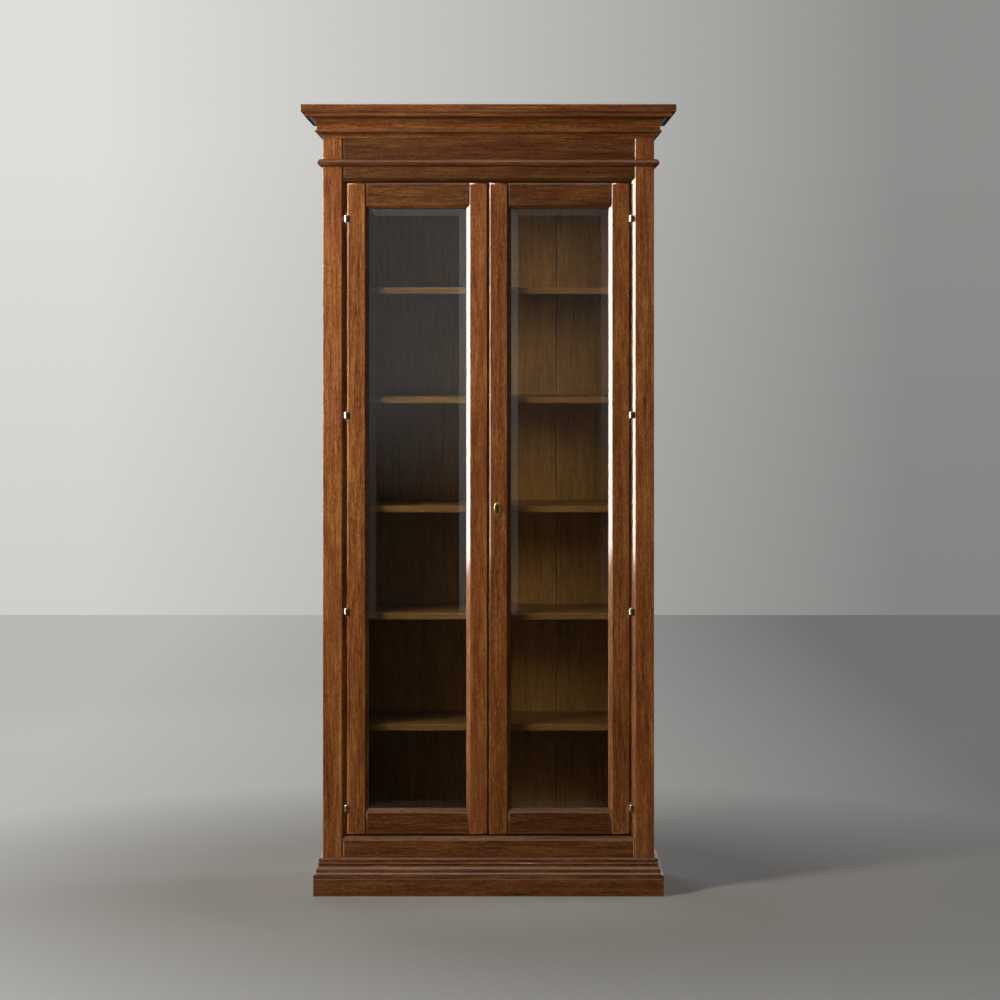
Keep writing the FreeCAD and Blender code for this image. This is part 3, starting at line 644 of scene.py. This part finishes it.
def shelf_pin_tree(material):
    """Shelf pins: a round shank along the aim with a flat tab on top of its free end."""
    sizes = ["Radius", "Length", "Tab length", "Tab width", "Tab thickness"]
    tree, given = new_tree("shelf_pins", sizes)
    shank = add(tree, "GeometryNodeMeshCylinder", None,
                {"Vertices": 24, "Radius": given["Radius"], "Depth": given["Length"]}).outputs[0]
    size = add(tree, "ShaderNodeCombineXYZ", None,
               {0: given["Tab thickness"], 1: given["Tab width"],
                2: given["Tab length"]}).outputs[0]
    tab = add(tree, "GeometryNodeMeshCube", None, {"Size": size}).outputs[0]
    rise = maths(tree, "MULTIPLY_ADD", given["Tab thickness"], -0.5, given["Radius"])
    ends = maths(tree, "SUBTRACT", given["Length"], given["Tab length"])
    tab = moved(tree, tab, (rise, 0.0, maths(tree, "MULTIPLY", ends, 0.5)))
    joined = add(tree, "GeometryNodeJoinGeometry")
    for part in (tab, shank):
        tree.links.new(part, joined.inputs[0])
    aimed_copies(tree, given["Geometry"], joined.outputs[0], material)
    return tree


def copies_mesh(name, tree, sizes, points, aims):
    """Plain mesh of a geometry tree's copies on points in the cabinet's frame."""
    mesh = bpy.data.meshes.new(name + "_points")
    mesh.from_pydata([tuple(point) for point in points], [], [])
    aim = mesh.attributes.new("aim", "FLOAT_VECTOR", "POINT")
    for index, way in enumerate(aims):
        aim.data[index].vector = way
    carrier = bpy.data.objects.new(name + "_points", mesh)
    bpy.context.scene.collection.objects.link(carrier)
    modifier = carrier.modifiers.new(name, "NODES")
    modifier.node_group = tree
    for item in tree.interface.items_tree:
        if item.in_out == "INPUT" and item.name in sizes:
            modifier[item.identifier] = sizes[item.name]
    depsgraph = bpy.context.evaluated_depsgraph_get()
    made = bpy.data.meshes.new_from_object(carrier.evaluated_get(depsgraph))
    made.name = name
    bpy.data.objects.remove(carrier)
    for polygon in made.polygons:
        polygon.use_smooth = True
    made.set_sharp_from_angle(angle=math.radians(35))
    return made


def screws(node, away):
    """Screws of one CAD node, with their heads outwards for 1 and to the middle for -1."""
    steel = shared("turned_steel", turned_steel)
    boxes = solid_boxes(node)
    low, high = boxes[0]
    head = (high.y - low.y) / 2
    points, aims = [], []
    for low, high in boxes:
        middle = (low + high) / 2
        outward = 1 if middle.x * away > 0 else -1
        points.append((high.x if outward > 0 else low.x, middle.y, middle.z))
        aims.append((-outward, 0.0, 0.0))
    depth = (high.x - low.x) * SCREW_HEAD_SHARE
    sizes = {"Head radius": head, "Shank radius": head / 2, "Head depth": depth,
             "Shank length": high.x - low.x - depth,
             "Slot width": bpy.context.scene.cabinet_metal.head_slot}
    mesh = copies_mesh(node, screw_tree(steel), sizes, points, aims)
    place(node + "_slotted", mesh, steel, node)


class CABINET_OT_case(bpy.types.Operator):
    """Side panels, boards, back, hanging rail, glue blocks and door stops."""

    bl_idname = "cabinet.case"
    bl_label = "Case boards"

    def execute(self, context):
        outside = shared("case_walnut", front_walnut)
        inside = shared("inner_walnut", inner_walnut)
        for node in ("left_side_panel", "right_side_panel"):
            board(node, outside, TONES_AND_PAINTED_LIGHT["side_panel"])
        for node in ("top_board", "bottom_board", "hanging_rail", "glue_blocks",
                     "top_door_stop", "bottom_door_stop"):
            board(node, inside, TONES_AND_PAINTED_LIGHT["inner_board"])
        for node in sorted(frame["nodes"]):
            if node.startswith("back_board"):
                board(node, inside, TONES_AND_PAINTED_LIGHT["back_board"])
        return {"FINISHED"}


class CABINET_OT_face_frame(bpy.types.Operator):
    """Stiles and rails round the door opening."""

    bl_idname = "cabinet.face_frame"
    bl_label = "Face frame"

    def execute(self, context):
        wood = shared("case_walnut", front_walnut)
        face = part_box("frame_left_stile")[0].y
        for part in ("left_stile", "right_stile", "header_rail", "bottom_rail"):
            # Painted light and shade in their lightness: the left stile lightest, the rails darkest
            board("frame_" + part, wood, TONES_AND_PAINTED_LIGHT[part], face=face)
        return {"FINISHED"}


class CABINET_OT_mouldings(bpy.types.Operator):
    """Cornice, half-round band, base moulding and plinth."""

    bl_idname = "cabinet.mouldings"
    bl_label = "Mouldings"

    def execute(self, context):
        wood = shared("moulding_walnut", front_walnut)
        for node in sorted(frame["nodes"]):
            if node.startswith(("cornice_moulding", "astragal", "base_moulding")):
                board(node, wood, TONES_AND_PAINTED_LIGHT["moulding"], ease=False)
            elif node.startswith(("plinth", "cornice_slab")):
                board(node, wood, TONES_AND_PAINTED_LIGHT["plinth"])
        return {"FINISHED"}


class CABINET_OT_shelves(bpy.types.Operator):
    """Shelves and the pins that carry them."""

    bl_idname = "cabinet.shelves"
    bl_label = "Shelves"

    def execute(self, context):
        inside = shared("inner_walnut", inner_walnut)
        for node in sorted(frame["nodes"]):
            if node.startswith("shelf") and node != "shelf_pins":
                board(node, inside, TONES_AND_PAINTED_LIGHT["shelf"])
        metal = shared("tarnished_brass", tarnished_brass)
        boxes = solid_boxes("shelf_pins")
        low, high = boxes[0]
        embedded = high.x - low.x
        tab_length = embedded - (abs(low.x) - abs(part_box("shelf_1")[0].x)) - TAB_GAP
        sizes = {"Radius": (high.z - low.z) / 2, "Length": embedded, "Tab length": tab_length,
                 "Tab width": high.y - low.y, "Tab thickness": TAB_THICKNESS}
        points = [(low + high) / 2 for low, high in boxes]
        aims = [(1.0 if point.x < 0 else -1.0, 0.0, 0.0) for point in points]
        mesh = copies_mesh("shelf_pins", shelf_pin_tree(metal), sizes, points, aims)
        place("shelf_pins_brass", mesh, metal, "shelf_pins")
        return {"FINISHED"}


class CABINET_OT_doors(bpy.types.Operator):
    """Stiles, rails, glazing beads and bevelled panes of both doors."""

    bl_idname = "cabinet.doors"
    bl_label = "Doors"

    def execute(self, context):
        wood = shared("door_walnut", front_walnut)
        glass = shared("plate_glass", plate_glass)
        for door in ("left_door", "right_door"):
            # Painted light: the left door is lighter than the right one
            tone_and_painted_light = TONES_AND_PAINTED_LIGHT[door]
            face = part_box(door + "_top_rail")[0].y
            for part in ("hinge_stile", "meeting_stile"):
                board(door + "_" + part, wood, tone_and_painted_light, face=face)
            for part in ("top_rail", "bottom_rail"):
                # Painted shade: a door's rails are darker than its stiles
                board(door + "_" + part, wood, tone_and_painted_light * DOOR_RAIL_PAINTED_SHADE, face=face)
            board(door + "_glazing_beads", wood, tone_and_painted_light * GLAZING_BEAD_SHARE)
            work = merged(door + "_glass")
            mesh = bpy.data.meshes.new(door + "_pane")
            work.to_mesh(mesh)
            work.free()
            place(door + "_pane", mesh, glass, door + "_glass")
        return {"FINISHED"}


class CABINET_OT_hinges(bpy.types.Operator):
    """Hinge leaves with their knuckles, pins and screws."""

    bl_idname = "cabinet.hinges"
    bl_label = "Hinges"

    def execute(self, context):
        brown = shared("browned_brass", browned_brass)
        for node in ("jamb_hinge_leaves", "left_door_hinge_leaves", "right_door_hinge_leaves"):
            casting(node, brown, 0.0, 0.0)
        boxes = solid_boxes("hinge_pins")
        low, high = boxes[0]
        radius = (high.x - low.x) / 2
        sizes = {"Radius": radius, "Length": high.z - low.z,
                 "Button radius": radius * BUTTON_RADIUS,
                 "Button height": radius * BUTTON_HEIGHT}
        points = [(low + high) / 2 for low, high in boxes]
        mesh = copies_mesh("hinge_pins", pin_tree(brown), sizes, points,
                           [(0.0, 0.0, 1.0)] * len(points))
        place("hinge_pins_domed", mesh, brown, "hinge_pins")
        screws("jamb_hinge_screws", -1)
        screws("left_door_hinge_screws", 1)
        screws("right_door_hinge_screws", 1)
        return {"FINISHED"}


class CABINET_OT_locks(bpy.types.Operator):
    """Lock with its keyhole plate and strike, and the surface bolts."""

    bl_idname = "cabinet.locks"
    bl_label = "Lock and bolts"

    def execute(self, context):
        metal = shared("tarnished_brass", tarnished_brass)
        steel = shared("turned_steel", turned_steel)
        # Each with the rounding of its edges and the shortest edge that is rounded
        casting("escutcheon", metal, 0.0, 0.0)
        casting("lock_case", metal, 0.3 * MM, 8 * MM)
        casting("strike_plate", metal, 0.2 * MM, 8 * MM)
        casting("surface_bolt_cases", metal, 0.8 * MM, 10 * MM)
        casting("lock_bolt", steel, 0.4 * MM, 6 * MM)
        casting("upper_bolt_rod", metal, 0.0, 0.0)
        casting("lower_bolt_rod", metal, 0.0, 0.0)
        return {"FINISHED"}


class CABINET_OT_stage(bpy.types.Operator):
    """Floor, background, lamps and camera."""

    bl_idname = "cabinet.stage"
    bl_label = "Stage"

    def execute(self, context):
        self.lay_floor()
        self.set_world()
        self.hang_lamps()
        self.place_camera()
        scene = context.scene
        scene.view_settings.view_transform = "Standard"
        return {"FINISHED"}

    def lay_floor(self):
        """Plain pale floor whose far edge meets the background behind the cabinet."""
        studio = bpy.context.scene.cabinet_studio
        material, tree = new_material("studio_floor")
        place_of = add(tree, "ShaderNodeTexCoord").outputs["Object"]
        away = add(tree, "ShaderNodeVectorMath", {"operation": "LENGTH"}, {0: place_of}).outputs[1]
        # To the camera the floor turns from lit ground at the cabinet into the background's glow
        far = spread(tree, away, 0.9, 2.2, 0.16, 0.9)
        path = add(tree, "ShaderNodeLightPath").outputs
        # Painted shade: in reflections the floor away from the cabinet is nearly black
        glossy = maths(tree, "MULTIPLY", spread(tree, away, 0.9, 1.7, 0.0, 1.0),
                       maths(tree, "GREATER_THAN", path["Glossy Depth"], 0.5))
        dusk = solid(tuple(c * 0.05 for c in studio.ground))
        base = tinted(tree, "MIX", glossy, solid(studio.ground), dusk)
        mottle = streaks(tree, place_of, 400 * MM, 400 * MM, 3.0)
        floor = add(tree, "ShaderNodeBsdfPrincipled", None,
                    {"Base Color": base, "Specular IOR Level": 0.0,
                     "Roughness": spread(tree, mottle, 0.3, 0.7, 0.6, 0.75)})
        # Painted light: to the camera the floor's glow falls from bright at the left to dim at the
        # right
        side = add(tree, "ShaderNodeSeparateXYZ", None, {0: place_of}).outputs[0]
        lit = spread(tree, side, -1.8, 1.9, 0.72, 0.24)
        painted_glow = add(tree, "ShaderNodeEmission", None, {0: solid(studio.backdrop), 1: lit})
        mixed = add(tree, "ShaderNodeMixShader", None,
                    {0: maths(tree, "MULTIPLY", far, path["Is Camera Ray"]), 1: floor.outputs[0],
                     2: painted_glow.outputs[0]})
        add(tree, "ShaderNodeOutputMaterial", None, {0: mixed.outputs[0]})
        work = bmesh.new()
        bmesh.ops.create_grid(work, x_segments=8, y_segments=8, size=FLOOR_REACH)
        mesh = bpy.data.meshes.new("studio_floor")
        work.to_mesh(mesh)
        work.free()
        mesh.materials.append(material)
        floor_object = bpy.data.objects.new("studio_floor", mesh)
        bpy.context.scene.collection.objects.link(floor_object)

    def set_world(self):
        """Even fill for the object, a pale background, and a soft room for its reflections."""
        studio = bpy.context.scene.cabinet_studio
        world = bpy.data.worlds.new("studio")
        bpy.context.scene.world = world
        world.use_nodes = True
        tree = world.node_tree
        tree.nodes.clear()
        path = add(tree, "ShaderNodeLightPath").outputs
        aim = add(tree, "ShaderNodeTexCoord").outputs["Generated"]
        side, depth, rise = add(tree, "ShaderNodeSeparateXYZ", None, {0: aim}).outputs

        # Left to right fall of light on the background
        fade = times(tree, spread(tree, side, -0.13, 0.13, 1.0, 0.37),
                     spread(tree, rise, -0.1, 0.06, 0.84, 1.0))
        pale = add(tree, "ShaderNodeBackground", None, {0: solid(studio.backdrop), 1: fade})

        # What lacquer, brass and glass mirror: dark low down, grey ahead, brighter above. Side
        # and rise are the sines of a direction's angles to the right and upwards.
        ahead = times(tree, spread(tree, rise, -0.055, -0.015, DARK_LEVEL, AHEAD_LEVEL),
                      spread(tree, side, -0.01, 0.004, 1.0, 0.25))
        above = times(tree, spread(tree, rise, 0.06, 0.2, 0.0, ABOVE_LEVEL),
                      spread(tree, side, -0.01, 0.004, 1.0, 0.45))
        ceiling = times(tree, spread(tree, rise, 0.5, 0.7, 0.0, CEILING_LEVEL),
                        spread(tree, rise, 0.88, 0.96, 1.0, 0.05))
        window = times(tree, spread(tree, side, -0.8, -0.76, WINDOW_LEVEL, 0.0),
                       spread(tree, side, -0.95, -0.91, 0.0, 1.0),
                       spread(tree, rise, -0.03, 0.02, 0.0, 1.0),
                       maths(tree, "LESS_THAN", depth, 0.0))
        left = spread(tree, side, -0.18, -0.12, LEFT_LEVEL, 0.0)
        right = times(tree, spread(tree, side, 0.1, 0.16, 0.0, RIGHT_LEVEL),
                      spread(tree, side, 0.205, 0.235, 1.0, 0.1),
                      spread(tree, rise, -0.15, 0.0, 0.25, 1.0))
        brightest = left
        for part in (right, window, ceiling, above):
            brightest = maths(tree, "MAXIMUM", brightest, part)
        bright = maths(tree, "ADD", brightest, ahead)
        room = add(tree, "ShaderNodeBackground", None, {0: solid(linear("#f4f5f6")), 1: bright})
        fill = add(tree, "ShaderNodeBackground", None, {0: solid(linear("#f2f5fb")), 1: studio.sky})

        # Light that has already met a rough surface sees the fill alone, also through a pane
        straight = maths(tree, "LESS_THAN", path["Diffuse Depth"], 0.5)
        past = maths(tree, "MAXIMUM", path["Is Camera Ray"], path["Is Transmission Ray"])
        past = times(tree, past, straight)
        mirrored = times(tree, maths(tree, "GREATER_THAN", path["Glossy Depth"], 0.5), straight)
        mixed = add(tree, "ShaderNodeMixShader", None,
                    {0: past, 1: fill.outputs[0], 2: pale.outputs[0]})
        mixed = add(tree, "ShaderNodeMixShader", None,
                    {0: mirrored, 1: mixed.outputs[0], 2: room.outputs[0]})
        add(tree, "ShaderNodeOutputWorld", None, {0: mixed.outputs[0]})

    def hang_lamps(self):
        """Soft key at the upper front left, a wide card at the left, and a lamp for the back."""
        studio = bpy.context.scene.cabinet_studio
        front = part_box("frame_left_stile")[0].y
        key = self.lamp("key_lamp", (-3.1, front - 2.4, 2.7), (-0.35, front, 1.95), 0.9, 1.3,
                        studio.key, "#fff6ea")
        key.data.spread = math.radians(95)
        key.visible_transmission = False
        card = self.lamp("side_card", (-3.0, front - 0.45, 1.78), (0.0, front - 0.45, 1.78),
                         1.4, 2.05, studio.card, "#ffffff")
        card.visible_diffuse = False
        card.visible_transmission = False
        for name, spot, share, wide in (("back_lamp", (-1.9, 4.2, 2.3), 1.0, 180),
                                        ("right_lamp", (4.0, 1.2, 2.0), 0.15, 45)):
            lamp = self.lamp(name, spot, (0.0, 0.1, 1.2), 2.0, 2.0, studio.back * share, "#f4f7ff")
            lamp.visible_transmission = False
            lamp.visible_glossy = False
            lamp.data.spread = math.radians(wide)

    def lamp(self, name, spot, target, width, height, power, code):
        """Rectangular soft lamp at spot that faces target."""
        data = bpy.data.lights.new(name, "AREA")
        data.shape = "RECTANGLE"
        data.size = width
        data.size_y = height
        data.energy = power
        data.color = linear(code)
        made = bpy.data.objects.new(name, data)
        bpy.context.scene.collection.objects.link(made)
        made.location = spot
        made.rotation_euler = (Vector(target) - Vector(spot)).to_track_quat("-Z", "Y").to_euler()
        return made

    def place_camera(self):
        """Camera level and square to the front, shifted down as in the photograph."""
        data = bpy.data.cameras.new("camera")
        data.sensor_width = SENSOR_WIDTH
        data.lens = SENSOR_WIDTH * FRONT_DISTANCE / (PIXEL * PICTURE)
        data.shift_y = (HORIZON_ROW - PICTURE / 2) / PICTURE
        data.clip_end = 100.0
        camera = bpy.data.objects.new("camera", data)
        bpy.context.scene.collection.objects.link(camera)
        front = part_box("frame_left_stile")[0].y
        camera.location = (CAMERA_X, front - FRONT_DISTANCE, CAMERA_Z)
        camera.rotation_euler = (math.pi / 2, 0.0, 0.0)
        bpy.context.scene.camera = camera


class CABINET_PT_panel(bpy.types.Panel):
    """Lists the cabinet's settings and steps."""

    bl_idname = "CABINET_PT_panel"
    bl_label = "Display cabinet"
    bl_space_type = "VIEW_3D"
    bl_region_type = "UI"
    bl_category = "Cabinet"

    def draw(self, context):
        for group in (context.scene.cabinet_wood, context.scene.cabinet_metal,
                      context.scene.cabinet_studio):
            box = self.layout.box()
            for name in group.bl_rna.properties.keys():
                if name not in ("name", "rna_type"):
                    box.prop(group, name)
        for step in STEPS:
            self.layout.operator(step.bl_idname)


STEPS = (CABINET_OT_case, CABINET_OT_face_frame, CABINET_OT_mouldings, CABINET_OT_shelves,
         CABINET_OT_doors, CABINET_OT_hinges, CABINET_OT_locks, CABINET_OT_stage)
CLASSES = (CabinetWood, CabinetMetal, CabinetStudio, *STEPS, CABINET_PT_panel)


def register():
    """Adds the settings, the steps and the panel."""
    for item in CLASSES:
        bpy.utils.register_class(item)
    bpy.types.Scene.cabinet_wood = bpy.props.PointerProperty(type=CabinetWood)
    bpy.types.Scene.cabinet_metal = bpy.props.PointerProperty(type=CabinetMetal)
    bpy.types.Scene.cabinet_studio = bpy.props.PointerProperty(type=CabinetStudio)


def unregister():
    """Takes the settings, the steps and the panel away."""
    del bpy.types.Scene.cabinet_studio
    del bpy.types.Scene.cabinet_metal
    del bpy.types.Scene.cabinet_wood
    for item in reversed(CLASSES):
        bpy.utils.unregister_class(item)


def plain(bounds):
    """Two corners as plain lists of numbers."""
    return [[float(value) for value in corner] for corner in bounds]


def main():
    """Runs every step."""
    register()
    bpy.ops.cabinet.case()
    bpy.ops.cabinet.face_frame()
    bpy.ops.cabinet.mouldings()
    bpy.ops.cabinet.shelves()
    bpy.ops.cabinet.doors()
    bpy.ops.cabinet.hinges()
    bpy.ops.cabinet.locks()
    bpy.ops.cabinet.stage()


if __name__ == "__main__":
    main()
